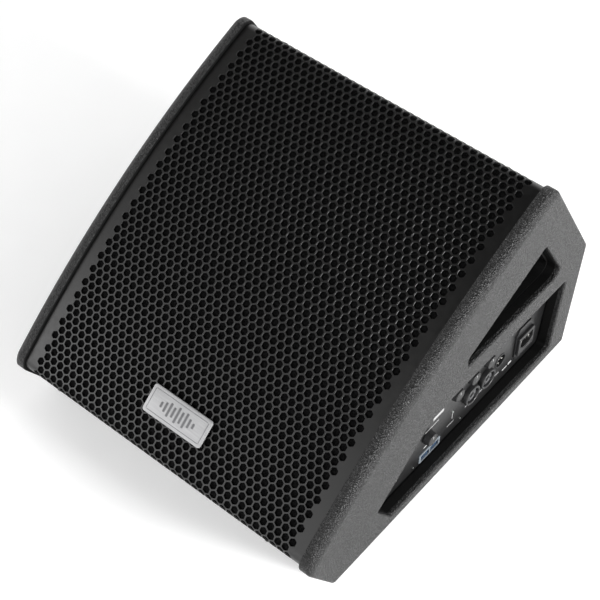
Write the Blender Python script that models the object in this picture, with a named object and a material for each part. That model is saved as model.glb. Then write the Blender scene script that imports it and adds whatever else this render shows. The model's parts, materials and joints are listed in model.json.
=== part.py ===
"""Active stage monitor wedge with a 12 inch coaxial driver and a side control panel.

Metres, +Z up.  The wedge lies on its long bottom face and sends its sound towards -Y and up.
Side outlines are drawn in (y, z), with y = 0 near the bottom front corner and z = 0 on the
underside of the cabinet.  The parent empty then moves the whole cabinet, so that the origin
of the part is the middle of the floor area that it covers.
"""
import math

import bmesh
import bpy
from mathutils import Matrix, Vector

# ---- driving dimensions -------------------------------------------------------------------
WIDTH = 0.400                      # over the two side panels
SIDE = 0.015                       # side panel thickness
BOARD = 0.012                      # thickness of the boards between the side panels
GAP = 0.0003                       # clearance between pieces that touch
ROUND = 0.0035                     # rounded edge of the side panels
OPENING_ROUND = 0.0025             # rounded edge of the openings in them
ARC_STEPS = 3                      # facets across a rounded edge
FOOT_HEIGHT = 0.008
FOOT_RADIUS = 0.019

BOTTOM_FRONT = Vector((0.002, 0.0))
BOTTOM_BACK = Vector((0.399, 0.0))
BACK_TOP = Vector((0.4103, 0.143))
GRILLE_FRONT = Vector((-0.040, 0.068))
GRILLE_TOP = Vector((0.323, 0.294))
GRILLE_RADIUS = 1.100              # the grille is one large arc between its two ends
PROUD = 0.004                      # the side panels stand this far above the grille
ROOF_PROUD = 0.003                 # this far above the top board
LIP_PROUD = 0.002                  # and this far in front of the front board

SHEET = 0.0015                     # grille steel
BEND = 0.011                       # outer radius of the grille's two bends
RETURN_LENGTH = 0.015              # folded edge at the top and bottom of the grille
BAFFLE_DROP = 0.020                # from the grille's chord down to the front of the baffle
CLEAT = 0.015                      # square battens that hold the baffle's two ends

INNER = WIDTH / 2 - SIDE           # x of the side panels' inner faces
RECESS_DEPTH = 0.0172              # from the outer face to the control panel
PANEL_X = WIDTH / 2 - RECESS_DEPTH
PANEL_SHEET = 0.002
RECESS_CORNERS = [(0.088, 0.0142), (0.3685, 0.0142), (0.3785, 0.1182), (0.146, 0.1182), (0.064, 0.0489)]
RECESS_RADII = [0.004, 0.005, 0.005, 0.008, 0.003]
HANDLE_CORNERS = [(0.2015, 0.1459), (0.3615, 0.1459), (0.3178, 0.2179), (0.1995, 0.1599)]
HANDLE_RADII = [0.004, 0.009, 0.004, 0.003]
CUP_DEPTH = 0.050
CUP_WALL = 0.0025

DRIVER_OFFSET = 0.025              # driver centre above the middle of the baffle
BASKET_RADIUS = 0.155
CUTOUT_RADIUS = 0.1425
MAGNET_RADIUS = 0.070
COIL_RADIUS = 0.026

COLUMN = 0.028                     # pitch of the sockets and knobs along the panel
FIRST_COLUMN = 0.2106
SOCKET_Z = 0.0515
KNOB_Z = 0.0810
ENCODER = (0.1665, 0.0525)
DISPLAY = (0.172, 0.0235)
DISPLAY_SIZE = (0.0352, 0.0128)
INLET = (0.336, 0.0495)
SWITCH = (0.331, 0.0935)
SWITCH_TILT = 7.0                  # degrees, the rocker's lean at rest
LED_RADIUS = 0.0017
LEDS = [("signal_led", FIRST_COLUMN, SOCKET_Z - 0.003),
        ("limit_led", FIRST_COLUMN + 0.0155, 0.0215),
        ("power_led", 0.145, 0.0205)]

# ---- materials ----------------------------------------------------------------------------
FINISHES = {
    "texture_paint": ((0.030, 0.030, 0.032), 0.62, 0.0),
    "powder_coat": ((0.018, 0.018, 0.018), 0.38, 0.4),
    "brushed_silver": ((0.72, 0.73, 0.74), 0.30, 0.9),
    "black_plastic": ((0.014, 0.014, 0.015), 0.42, 0.0),
    "grey_plastic": ((0.35, 0.36, 0.37), 0.40, 0.0),
    "white_plastic": ((0.80, 0.82, 0.85), 0.35, 0.0),
    "display_glass": ((0.02, 0.05, 0.12), 0.08, 0.0),
    "panel_metal": ((0.045, 0.046, 0.048), 0.45, 0.6),
    "plated_metal": ((0.75, 0.74, 0.70), 0.22, 1.0),
    "black_rubber": ((0.020, 0.020, 0.020), 0.80, 0.0),
    "foam": ((0.010, 0.010, 0.010), 0.95, 0.0),
    "paper_cone": ((0.025, 0.024, 0.023), 0.85, 0.0),
    "cast_frame": ((0.10, 0.10, 0.11), 0.50, 0.7),
    "ferrite": ((0.06, 0.06, 0.065), 0.60, 0.2),
    "aluminium": ((0.62, 0.63, 0.65), 0.35, 1.0),
    "green_board": ((0.02, 0.14, 0.06), 0.50, 0.0),
    "copper_wire": ((0.62, 0.27, 0.10), 0.35, 0.9),
    "plywood": ((0.42, 0.28, 0.16), 0.70, 0.0),
    "led_lens": ((0.75, 0.80, 0.78), 0.20, 0.0),
}


def material(slot):
    """One Principled material for a finish, made on first use."""
    found = bpy.data.materials.get(slot)
    if found:
        return found
    color, roughness, metallic = FINISHES[slot]
    made = bpy.data.materials.new(slot)
    made.use_nodes = True
    shader = made.node_tree.nodes["Principled BSDF"]
    shader.inputs["Base Color"].default_value = (*color, 1.0)
    shader.inputs["Roughness"].default_value = roughness
    shader.inputs["Metallic"].default_value = metallic
    return made


# ---- outlines -----------------------------------------------------------------------------
def fillet(before, corner, after, radius, steps):
    """Points of the arc that rounds a corner."""
    before, corner, after = Vector(before), Vector(corner), Vector(after)
    inward = (before - corner).normalized()
    outward = (after - corner).normalized()
    half = inward.angle(outward) / 2
    centre = corner + (inward + outward).normalized() * (radius / math.sin(half))
    start = corner + inward * (radius / math.tan(half)) - centre
    sweep = math.pi - 2 * half
    turn = inward.x * outward.y - inward.y * outward.x
    sign = -1.0 if turn > 0 else 1.0
    points = []
    for i in range(steps + 1):
        angle = sign * sweep * i / steps
        cos, sin = math.cos(angle), math.sin(angle)
        points.append(centre + Vector((start.x * cos - start.y * sin, start.x * sin + start.y * cos)))
    return points


def rounded(corners, radii, steps=5):
    """A closed outline with every corner rounded."""
    outline = []
    for i, corner in enumerate(corners):
        outline += fillet(corners[i - 1], corner, corners[(i + 1) % len(corners)], radii[i], steps)
    return outline


def offset(outline, distance):
    """A counter-clockwise outline moved outward by a distance, corner by corner."""
    moved = []
    for i, point in enumerate(outline):
        a = (point - outline[i - 1]).normalized()
        b = (outline[(i + 1) % len(outline)] - point).normalized()
        normal_a, normal_b = Vector((a.y, -a.x)), Vector((b.y, -b.x))
        middle = (normal_a + normal_b).normalized()
        moved.append(point + middle * (distance / max(middle.dot(normal_a), 0.3)))
    return moved


def arc_centre():
    middle = (GRILLE_FRONT + GRILLE_TOP) / 2
    chord = GRILLE_TOP - GRILLE_FRONT
    outward = Vector((-chord.y, chord.x)).normalized()
    return middle - outward * math.sqrt(GRILLE_RADIUS ** 2 - (chord.length / 2) ** 2)


CENTRE = arc_centre()
CHORD = (GRILLE_TOP - GRILLE_FRONT).normalized()
NORMAL = Vector((-CHORD.y, CHORD.x))           # out of the grille, towards the listener
LIP = (BOTTOM_FRONT - GRILLE_FRONT).normalized()
ROOF = (BACK_TOP - GRILLE_TOP).normalized()
TILT = math.atan2(CHORD.y, CHORD.x)


def on_circle(start, end, radius):
    """Where the line from start through end meets the circle of this radius about CENTRE."""
    along = (end - start).normalized()
    to_centre = CENTRE - start
    nearest = to_centre.dot(along)
    across = to_centre - along * nearest
    reach = math.sqrt(radius ** 2 - across.length_squared)
    hits = [start + along * (nearest - reach), start + along * (nearest + reach)]
    return min(hits, key=lambda hit: (hit - end).length)


def front_arc(start, end, radius, steps):
    """Points from start to end along the circle about CENTRE."""
    first = math.atan2(start.y - CENTRE.y, start.x - CENTRE.x)
    last = math.atan2(end.y - CENTRE.y, end.x - CENTRE.x)
    points = []
    for i in range(steps + 1):
        angle = first + (last - first) * i / steps
        points.append(CENTRE + Vector((math.cos(angle), math.sin(angle))) * radius)
    return points


def meet(point, along, other, other_along):
    """Where two lines in the side view cross."""
    across = along.x * other_along.y - along.y * other_along.x
    gap = other - point
    return point + along * ((gap.x * other_along.y - gap.y * other_along.x) / across)


def side_outline(arc_steps=24):
    """The closed outline of a side panel, proud of the grille and of the boards next to it."""
    radius = GRILLE_RADIUS + PROUD
    lip_line = BOTTOM_FRONT + Vector((LIP.y, -LIP.x)) * LIP_PROUD
    roof_line = BACK_TOP + Vector((-ROOF.y, ROOF.x)) * ROOF_PROUD
    low = meet(lip_line, LIP, BOTTOM_FRONT, BOTTOM_BACK - BOTTOM_FRONT)
    high = meet(roof_line, ROOF, BACK_TOP, BACK_TOP - BOTTOM_BACK)
    front = on_circle(low, lip_line - LIP * (BOTTOM_FRONT - GRILLE_FRONT).length, radius)
    top = on_circle(high, roof_line - ROOF * (BACK_TOP - GRILLE_TOP).length, radius)
    arc = front_arc(front, top, radius, arc_steps)
    outline = fillet(front, low, BOTTOM_BACK, 0.013, 6)
    outline += fillet(low, BOTTOM_BACK, high, 0.005, 4)
    outline += fillet(BOTTOM_BACK, high, top, 0.010, 5)
    outline += fillet(high, top, arc[-2], 0.014, 8)
    outline += reversed(arc[2:-2])
    outline += fillet(arc[1], front, low, 0.011, 7)
    return outline


CHEEK = side_outline()
Y_MIDDLE = (min(p.x for p in CHEEK) + max(p.x for p in CHEEK)) / 2


# ---- mesh helpers -------------------------------------------------------------------------
def finish(name, mesh, slot, smooth_angle=35):
    mesh.normal_update()
    data = bpy.data.meshes.new(name)
    mesh.to_mesh(data)
    mesh.free()
    data.shade_smooth()
    data.set_sharp_from_angle(angle=math.radians(smooth_angle))
    item = bpy.data.objects.new(name, data)
    bpy.context.scene.collection.objects.link(item)
    item.parent = cabinet
    data.materials.append(material(slot))
    return item


def loft(name, sections, slot):
    """A closed solid through outlines, each at its own x.  All have the same number of points."""
    mesh = bmesh.new()
    rings = []
    for x, outline in sections:
        rings.append([mesh.verts.new((x, p[0], p[1])) for p in outline])
    mesh.faces.new(rings[0])
    mesh.faces.new(list(reversed(rings[-1])))
    for low, high in zip(rings, rings[1:]):
        for i in range(len(low)):
            j = (i + 1) % len(low)
            mesh.faces.new((low[i], high[i], high[j], low[j]))
    bmesh.ops.recalc_face_normals(mesh, faces=mesh.faces)
    return finish(name, mesh, slot)


def prism(name, outline, x0, x1, slot):
    return loft(name, [(x0, outline), (x1, outline)], slot)


def block(name, low, high, slot):
    mesh = bmesh.new()
    bmesh.ops.create_cube(mesh, size=1.0)
    middle = (Vector(low) + Vector(high)) / 2
    size = Vector(high) - Vector(low)
    bmesh.ops.transform(mesh, verts=mesh.verts, matrix=Matrix.Translation(middle) @ Matrix.Diagonal((*size, 1)))
    return finish(name, mesh, slot)


def turned(name, profile, slot, steps=32):
    """A solid of revolution about local Z from a closed (radius, z) profile."""
    mesh = bmesh.new()
    rings = []
    for i in range(steps):
        angle = 2 * math.pi * i / steps
        ring = []
        for radius, z in profile:
            if radius > 0:
                ring.append(mesh.verts.new((radius * math.cos(angle), radius * math.sin(angle), z)))
            else:
                ring.append(rings[0][len(ring)] if rings else mesh.verts.new((0, 0, z)))
        rings.append(ring)
    count = len(profile)
    for i in range(steps):
        here, there = rings[i], rings[(i + 1) % steps]
        for j in range(count):
            k = (j + 1) % count
            corners = []
            for vertex in (here[j], there[j], there[k], here[k]):
                if vertex not in corners:
                    corners.append(vertex)
            if len(corners) > 2:
                mesh.faces.new(corners)
    bmesh.ops.recalc_face_normals(mesh, faces=mesh.faces)
    return finish(name, mesh, slot)


def modify(target, tool, operation):
    boolean = target.modifiers.new(tool.name, "BOOLEAN")
    boolean.operation = operation
    boolean.object = tool
    boolean.solver = "EXACT"
    tool.hide_render = True
    tool.display_type = "WIRE"


def cut(target, *tools):
    for tool in tools:
        modify(target, tool, "DIFFERENCE")


def add(target, *tools):
    for tool in tools:
        modify(target, tool, "UNION")


def on_panel(item, y, z, x=PANEL_X):
    """Stand a turned piece on the control panel, its local Z pointing out of the panel."""
    item.location = (x, y, z)
    item.rotation_euler = (0, math.pi / 2, 0)
    return item


def on_baffle(item):
    """Turn a piece onto the driver's axis, with local z = 0 on the front of the baffle."""
    foot = DRIVER_FOOT
    item.location = (0, foot.x, foot.y)
    item.rotation_euler = (TILT, 0, 0)
    return item


def round_cutter(name, radius, low, high, steps=20):
    return turned(name, [(0, low), (radius, low), (radius, high), (0, high)], "black_plastic", steps)


# ---- cabinet ------------------------------------------------------------------------------
def flare(name, outline, outer_x, inner_x):
    """A cutter for an opening whose outer edge is rounded over."""
    side = 1 if outer_x > 0 else -1
    sections = [(outer_x + side * 0.002, offset(outline, OPENING_ROUND))]
    for i in range(ARC_STEPS + 1):
        angle = math.pi / 2 * i / ARC_STEPS
        depth = OPENING_ROUND * (1 - math.cos(angle))
        sections.append((outer_x - side * depth, offset(outline, OPENING_ROUND * (1 - math.sin(angle)))))
    sections.append((inner_x - side * 0.002, outline))
    return loft(name, sections, "black_plastic")


def side_panel(name, side):
    """A side panel with its outer edge rounded over, in one board."""
    outer = side * WIDTH / 2
    sections = [(side * INNER, CHEEK)]
    for i in range(ARC_STEPS + 1):
        angle = math.pi / 2 * i / ARC_STEPS
        depth = ROUND * (1 - math.sin(angle))
        inset = ROUND * (1 - math.cos(angle))
        sections.append((outer - side * depth, offset(CHEEK, -inset)))
    return loft(name, sections, "texture_paint")


def boards():
    """The four boards of the shell, mitred where they meet."""
    corners = [GRILLE_FRONT, BOTTOM_FRONT, BOTTOM_BACK, BACK_TOP, GRILLE_TOP]
    radii = [0.0, 0.015, 0.005, 0.006, 0.0]
    names = ["front_panel", "bottom_panel", "back_panel", "top_panel"]
    open_end = RETURN_LENGTH + 0.002
    half_steps = 6
    inner_corners = []
    for i in (1, 2, 3):
        back = (corners[i - 1] - corners[i]).normalized()
        ahead = (corners[i + 1] - corners[i]).normalized()
        half = back.angle(ahead) / 2
        inner_corners.append(corners[i] + (back + ahead).normalized() * (BOARD / math.sin(half)))
    for i, name in enumerate(names):
        start, end = corners[i], corners[i + 1]
        along = (end - start).normalized()
        inward = Vector((-along.y, along.x))
        trim = along * (GAP / 2)
        if i == 0:
            outline = [start + along * open_end, start + along * open_end + inward * BOARD]
        else:
            arc = fillet(corners[i - 1], start, end, radii[i], 2 * half_steps)
            outline = [p + trim for p in reversed(arc[half_steps:])] + [inner_corners[i - 1] + trim]
        if i == 3:
            outline += [end - along * open_end + inward * BOARD, end - along * open_end]
        else:
            arc = fillet(start, end, corners[i + 2], radii[i + 1], 2 * half_steps)
            outline += [inner_corners[i] - trim] + [p - trim for p in reversed(arc[:half_steps + 1])]
        prism(name, outline, -INNER + GAP, INNER - GAP, "texture_paint")


def behind_grille(depth):
    """The ends of a line at this depth under the grille's chord, clear of the front and top boards."""
    lip_inner = GRILLE_FRONT + Vector((-LIP.y, LIP.x)) * (BOARD + GAP)
    roof_inner = GRILLE_TOP - Vector((-ROOF.y, ROOF.x)) * (BOARD + GAP)
    base = GRILLE_FRONT - NORMAL * depth
    return meet(base, CHORD, lip_inner, LIP), meet(base, CHORD, roof_inner, ROOF)


def baffle():
    """The board that carries the driver, straight under the curved grille, and its two cleats."""
    front_low, top_low = behind_grille(BAFFLE_DROP + BOARD)
    front_high, top_high = behind_grille(BAFFLE_DROP)
    board = prism("baffle", [front_low, top_low, top_high, front_high], -INNER + GAP, INNER - GAP, "plywood")
    cut(board, on_baffle(round_cutter("baffle_cutout", CUTOUT_RADIUS, -0.03, 0.02, 36)))
    upper = behind_grille(BAFFLE_DROP + BOARD + GAP)
    lower = behind_grille(BAFFLE_DROP + BOARD + CLEAT)
    for name, end, into in (("front", 0, CHORD), ("top", 1, -CHORD)):
        outline = [upper[end], lower[end], lower[end] + into * CLEAT, upper[end] + into * CLEAT]
        prism("baffle_cleat_" + name, outline, -INNER + GAP, INNER - GAP, "plywood")


def inward(path, distance):
    """An open path moved by a distance to its right-hand side."""
    moved = []
    for i, point in enumerate(path):
        before = path[i - 1] if i else None
        after = path[i + 1] if i < len(path) - 1 else None
        directions = [(point - before).normalized()] if before else []
        directions += [(after - point).normalized()] if after else []
        normals = [Vector((d.y, -d.x)) for d in directions]
        middle = sum(normals, Vector((0, 0))).normalized()
        moved.append(point + middle * (distance / middle.dot(normals[0])))
    return moved


def grille():
    """Steel sheet in one arc, with a bend and a short return at its top and bottom."""
    arc = front_arc(GRILLE_FRONT, GRILLE_TOP, GRILLE_RADIUS, 24)
    outer = [GRILLE_FRONT + LIP * RETURN_LENGTH]
    outer += reversed(fillet(arc[1], GRILLE_FRONT, outer[0], BEND, 8))
    outer += arc[2:-2]
    outer += fillet(arc[-2], GRILLE_TOP, BACK_TOP, BEND, 8)
    outer.append(GRILLE_TOP + ROOF * RETURN_LENGTH)
    prism("grille", outer + list(reversed(inward(outer, SHEET))), -INNER + GAP, INNER - GAP, "powder_coat")


def foam():
    """Acoustic foam that follows the back of the grille."""
    thickness = 0.006
    radius = GRILLE_RADIUS - SHEET - GAP
    start = GRILLE_FRONT + CHORD * 0.010
    end = GRILLE_TOP - CHORD * 0.010
    outer = front_arc(start, end, radius, 24)
    inner = front_arc(start, end, radius - thickness, 24)
    prism("grille_foam", outer + list(reversed(inner)), -INNER + 0.004, INNER - 0.004, "foam")


def badge():
    """A blank metal plate on two posts that follows the grille, near its lower edge."""
    length, width, thickness, up, lift = 0.0305, 0.076, 0.0018, 0.052, 0.0025
    radius = GRILLE_RADIUS + lift
    outline = rounded([(-width / 2, 0), (width / 2, 0), (width / 2, length), (-width / 2, length)],
                      [0.003] * 4, 4)
    mesh = bmesh.new()
    turn = math.atan2(GRILLE_FRONT.y - CENTRE.y, GRILLE_FRONT.x - CENTRE.x) - (up - length / 2) / radius
    rings = []
    for height, inset in ((0, 0), (thickness * 0.7, 0), (thickness, 0.0006)):
        ring = []
        for x, along in offset(outline, -inset):
            angle = turn - along / radius
            reach = radius + height
            ring.append(mesh.verts.new((x, CENTRE.x + reach * math.cos(angle), CENTRE.y + reach * math.sin(angle))))
        rings.append(ring)
    mesh.faces.new(rings[0])
    mesh.faces.new(list(reversed(rings[-1])))
    for low, high in zip(rings, rings[1:]):
        for i in range(len(low)):
            j = (i + 1) % len(low)
            mesh.faces.new((low[i], high[i], high[j], low[j]))
    bmesh.ops.recalc_face_normals(mesh, faces=mesh.faces)
    plate = finish("badge_plate", mesh, "brushed_silver")
    centre_turn = turn - length / 2 / radius
    outward = Vector((math.cos(centre_turn), math.sin(centre_turn)))
    foot = CENTRE + outward * GRILLE_RADIUS
    for hand, x in (("left", -0.022), ("right", 0.022)):
        post = round_cutter("badge_post_" + hand, 0.003, GAP * 2, lift + thickness / 2, 12)
        post.location = (x, foot.x, foot.y)
        post.rotation_euler = Vector((0, outward.x, outward.y)).to_track_quat("Z", "Y").to_euler()
        add(plate, post)


def handle_cup(name, side, opening):
    """A moulded pocket screwed behind the handle opening, with a flange all round."""
    mouth = side * (INNER - GAP)
    back = mouth - side * CUP_WALL
    floor = mouth - side * CUP_DEPTH
    pocket = offset(opening, 0.0005)
    wall = offset(opening, 0.0005 + CUP_WALL)
    flange = offset(opening, 0.008)
    loft(name, [(floor + side * CUP_WALL, offset(pocket, -0.002)), (mouth, pocket), (mouth, flange),
                (back, flange), (back, wall), (floor, offset(wall, -0.002))], "black_plastic")


def feet():
    """Four rubber feet, each a low cone with a screw well."""
    profile = [(0, -0.0025), (0.006, -0.0025), (0.006, -FOOT_HEIGHT), (FOOT_RADIUS - 0.0035, -FOOT_HEIGHT),
               (FOOT_RADIUS - 0.002, -FOOT_HEIGHT + 0.001), (FOOT_RADIUS, -GAP), (0, -GAP)]
    places = [("front", BOTTOM_FRONT.x + 0.045), ("back", BOTTOM_BACK.x - 0.035)]
    for end, y in places:
        for hand, side in (("left", -1), ("right", 1)):
            foot = turned("foot_{}_{}".format(end, hand), profile, "black_rubber", 20)
            foot.location = (side * (INNER - 0.030), y, 0)


def grille_screws():
    """Low pan-head screws through the grille's folded edges."""
    edges = [("top", GRILLE_TOP + ROOF * 0.0122, Vector((-ROOF.y, ROOF.x))),
             ("front", GRILLE_FRONT + LIP * 0.0122, Vector((LIP.y, -LIP.x)))]
    head = [(0, 0.0004), (0.0010, 0.0009), (0.0018, 0.0008), (0.0023, GAP), (0, GAP)]
    for edge, point, outward in edges:
        for hand, side in (("left", -1), ("right", 1)):
            screw = turned("grille_screw_{}_{}".format(edge, hand), head, "panel_metal", 12)
            screw.location = (side * 0.140, point.x, point.y)
            screw.rotation_euler = Vector((0, outward.x, outward.y)).to_track_quat("Z", "Y").to_euler()


# ---- coaxial driver -----------------------------------------------------------------------
DRIVER_FOOT = (GRILLE_FRONT + GRILLE_TOP) / 2 + CHORD * DRIVER_OFFSET - NORMAL * BAFFLE_DROP


def driver():
    depth = -0.086
    basket = on_baffle(turned("driver_basket", [
        (0.1280, 0.0050), (0.1260, 0.0000), (0.0690, depth + 0.004), (0.0320, depth + 0.004), (0.0320, depth),
        (0.0720, depth), (0.1310, -0.0090), (0.1400, -0.0090), (0.1400, GAP), (BASKET_RADIUS, GAP),
        (BASKET_RADIUS, 0.0050)], "cast_frame", 36))
    for i in range(6):
        window = block("basket_window_{}".format(i + 1), (0.078, -0.022, -0.095), (0.160, 0.022, -0.016), "cast_frame")
        turn = Matrix.Rotation(math.radians(60 * i + 30), 4, "Z")
        window.data.transform(turn)
        cut(basket, on_baffle(window))
    on_baffle(turned("driver_gasket", [(0.1425, 0.0053), (BASKET_RADIUS, 0.0053), (BASKET_RADIUS, 0.0078),
                                       (0.1425, 0.0078)], "black_rubber", 36))
    roll = [(0.1415, 0.0053), (0.1415, 0.0063), (0.1385, 0.0063)]
    roll += [(0.1300 + 0.0085 * math.cos(a), 0.0063 + 0.0060 * math.sin(a))
             for a in (math.pi * i / 6 for i in range(1, 6))]
    roll += [(0.1215, 0.0063), (0.1190, 0.0050), (0.1190, 0.0040), (0.1220, 0.0053)]
    roll += [(0.1300 - 0.0075 * math.cos(a), 0.0053 + 0.0050 * math.sin(a))
             for a in (math.pi * i / 6 for i in range(1, 6))]
    on_baffle(turned("driver_surround", roll + [(0.1375, 0.0053)], "black_rubber", 36))
    on_baffle(turned("driver_cone", [
        (0.1180, 0.0045), (0.0900, -0.0150), (0.0560, -0.0330), (0.0272, -0.0440), (0.0272, -0.0450),
        (0.0560, -0.0340), (0.0900, -0.0160), (0.1180, 0.0032)], "paper_cone", 36))
    on_baffle(turned("voice_coil", [(COIL_RADIUS - 0.0004, -0.0430), (COIL_RADIUS + 0.0006, -0.0430),
                                    (COIL_RADIUS + 0.0006, -0.0980), (COIL_RADIUS - 0.0004, -0.0980)],
                     "copper_wire", 32))
    waves = []
    for i in range(9):
        waves.append((0.0275 + 0.0495 * i / 8, -0.0680 + (0.0020 if i % 2 else 0)))
    spider = waves + [(r, z - 0.0008) for r, z in reversed(waves)]
    on_baffle(turned("driver_spider", spider, "paper_cone", 24))
    top = depth - GAP
    on_baffle(turned("driver_magnet", [(0.0290, top), (MAGNET_RADIUS, top), (MAGNET_RADIUS, top - 0.024),
                                       (0.0330, top - 0.024), (0.0330, top - 0.008), (0.0290, top - 0.008)],
                     "ferrite", 32))
    plate = top - 0.024 - GAP
    on_baffle(turned("driver_pole", [(0.0185, -0.0700), (0.0245, -0.0700), (0.0245, plate), (0.0640, plate),
                                     (0.0640, plate - 0.006), (0.0185, plate - 0.006)], "cast_frame", 28))
    on_baffle(turned("hf_horn", [(0.0125, plate - 0.006), (0.0135, -0.0700), (0.0235, -0.0460), (0.0250, -0.0460),
                                 (0.0250, -0.0475), (0.0165, -0.0690), (0.0165, plate - 0.006)],
                     "black_plastic", 24))
    end = plate - 0.006 - GAP
    on_baffle(turned("hf_driver", [(0, end), (0.0420, end), (0.0420, end - 0.016), (0.0360, end - 0.022),
                                   (0, end - 0.022)], "ferrite", 28))


# ---- control panel ------------------------------------------------------------------------
def column(number):
    return FIRST_COLUMN + COLUMN * number


def control_panel():
    recess = rounded(RECESS_CORNERS, RECESS_RADII)
    lowest = BOARD + 0.0006

    def lifted(outline):
        return [Vector((p[0], max(p[1], lowest))) for p in outline]

    flange = lifted(offset(recess, 0.010))
    plate = prism("control_panel", flange, PANEL_X - PANEL_SHEET, PANEL_X, "panel_metal")
    gasket = prism("panel_gasket", flange, PANEL_X + GAP, INNER - GAP, "foam")
    cut(gasket, prism("gasket_window", offset(recess, 0.0004), PANEL_X - 0.01, INNER + 0.01, "foam"))
    holes = [(column(1), SOCKET_Z, 0.0107), (column(2), SOCKET_Z, 0.0107), (column(3), SOCKET_Z, 0.0098),
             (column(3), KNOB_Z, 0.0066), (ENCODER[0], ENCODER[1], 0.0034)]
    holes += [(column(i), KNOB_Z, 0.0034) for i in range(3)]
    holes += [(y, z, LED_RADIUS + GAP) for name, y, z in LEDS]
    for number, (y, z, radius) in enumerate(holes):
        cut(plate, on_panel(round_cutter("panel_hole_{}".format(number + 1), radius, -0.01, 0.01), y, z))
    for name, (y, z), (wide, high) in (("inlet", INLET, (0.0286, 0.0286)), ("switch", SWITCH, (0.0136, 0.0206)),
                                      ("display", DISPLAY, (0.0330, 0.0100))):
        cut(plate, block("panel_window_" + name, (PANEL_X - 0.01, y - wide / 2, z - high / 2),
                         (PANEL_X + 0.01, y + wide / 2, z + high / 2), "panel_metal"))


def leds():
    profile = [(0, -0.006), (LED_RADIUS, -0.006), (LED_RADIUS, 0.0005), (LED_RADIUS * 0.7, 0.0013), (0, 0.0016)]
    for name, y, z in LEDS:
        on_panel(turned(name, profile, "led_lens", 12), y, z)


def display():
    y, z = DISPLAY
    wide, high = DISPLAY_SIZE
    frame = block("display_frame", (PANEL_X + GAP, y - wide / 2, z - high / 2),
                  (PANEL_X + 0.0016, y + wide / 2, z + high / 2), "white_plastic")
    add(frame, block("display_tube", (PANEL_X - 0.008, y - 0.0160, z - 0.0047),
                     (PANEL_X + 0.0010, y + 0.0160, z + 0.0047), "white_plastic"))
    cut(frame, block("display_opening", (PANEL_X - 0.020, y - 0.0145, z - 0.0036),
                     (PANEL_X + 0.010, y + 0.0145, z + 0.0036), "white_plastic"))
    block("display_window", (PANEL_X - 0.0060, y - 0.0142, z - 0.0033),
          (PANEL_X + 0.0012, y + 0.0142, z + 0.0033), "display_glass")


def knob(name, base, top, height, slot):
    """A knob with a tapered flank, a pointer groove and a blind bore for its shaft."""
    body = turned(name, [(0, 0.0045), (0.0031, 0.0045), (0.0031, 0.0006), (base, 0.0006), (base, 0.0016),
                         (top, height - 0.0005), (top - 0.0006, height), (0, height)], slot, 20)
    groove = block(name + "_groove", (-top - 0.002, -0.0004, height - 0.0006), (-top * 0.45, 0.0004, height + 0.002),
                   slot)
    cut(body, groove)
    return body, groove


def shaft(name):
    return turned(name, [(0, -0.0110), (0.0029, -0.0110), (0.0029, 0.0042), (0, 0.0042)], "plated_metal", 12)


def knobs():
    places = [("encoder", ENCODER[0], ENCODER[1], 0.0084, 0.0072, 0.0080)]
    places += [("volume", column(i), KNOB_Z, 0.0084, 0.0072, 0.0072) for i in range(3)]
    for number, (kind, y, z, base, top, height) in enumerate(places):
        ending = "" if kind == "encoder" else "_{}".format(number)
        for piece in (*knob("{}_knob{}".format(kind, ending), base, top, height, "black_plastic"),
                      shaft("{}_shaft{}".format(kind, ending))):
            on_panel(piece, y, z)
    button = turned("ground_lift_button", [(0, -0.0060), (0.0078, -0.0060), (0.0078, -0.0040), (0.0062, -0.0040),
                                           (0.0062, 0.0014), (0.0056, 0.0020), (0, 0.0020)], "black_plastic", 28)
    on_panel(button, column(3), KNOB_Z)


def sockets():
    for number in (1, 2):
        socket = turned("combo_socket_{}".format(number), [
            (0, -0.0160), (0.0033, -0.0160), (0.0033, 0.0040), (0.0074, 0.0040), (0.0074, 0.0020),
            (0.0096, 0.0020), (0.0096, 0.0054), (0.0102, 0.0060), (0.0118, 0.0060), (0.0124, 0.0052),
            (0.0124, GAP), (0.0104, GAP), (0.0104, -0.0220), (0, -0.0220)], "black_plastic", 28)
        on_panel(socket, column(number), SOCKET_Z)
    shell = turned("link_socket", [
        (0, -0.0140), (0.0080, -0.0140), (0.0080, 0.0004), (0.0086, 0.0010), (0.0094, 0.0010),
        (0.0094, -0.0025), (0.0120, -0.0025), (0.0120, -0.0200), (0, -0.0200)], "black_plastic", 24)
    on_panel(shell, column(3), SOCKET_Z)
    insert = turned("link_socket_pins", [(0, -0.0137), (0.0077, -0.0137), (0.0077, -0.0118), (0, -0.0118)],
                    "plated_metal", 24)
    on_panel(insert, column(3), SOCKET_Z)
    for number in range(3):
        pin = round_cutter("link_pin_{}".format(number + 1), 0.0011, -0.0130, -0.0020, 12)
        turn = math.radians(90 + 120 * number)
        pin.data.transform(Matrix.Translation((0.0039 * math.cos(turn), 0.0039 * math.sin(turn), 0)))
        add(insert, on_panel(pin, column(3), SOCKET_Z))


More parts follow.
